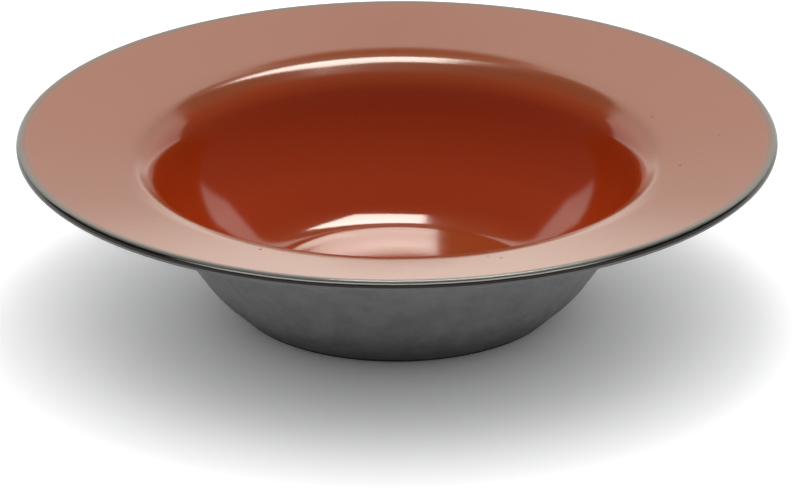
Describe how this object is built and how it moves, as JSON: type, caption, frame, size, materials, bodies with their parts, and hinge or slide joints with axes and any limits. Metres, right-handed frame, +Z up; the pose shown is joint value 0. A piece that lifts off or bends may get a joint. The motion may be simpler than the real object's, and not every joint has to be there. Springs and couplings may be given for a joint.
{
  "type": "soup plate",
  "caption": "Round stoneware soup plate with a wide sloping rim, a deep round well and a low foot ring, glazed inside and out; holds soup or pasta.",
  "frame": {"origin": "middle of the foot ring, on the table", "axes": "+Z up along the plate's axis; the plate is round, so X and Y are any two directions across it"},
  "size_m": [0.27, 0.27, 0.0636],
  "materials": {
    "stoneware": "unglazed, matt",
    "rust_glaze": "gloss",
    "iron_glaze": "gloss",
    "slate_glaze": "satin"
  },
  "bodies": {
    "root": {"stoneware_body": "stoneware", "inside_glaze": "rust_glaze", "lip_glaze": "iron_glaze", "outside_glaze": "slate_glaze", "base_glaze": "slate_glaze"}
  },
  "joints": []
}
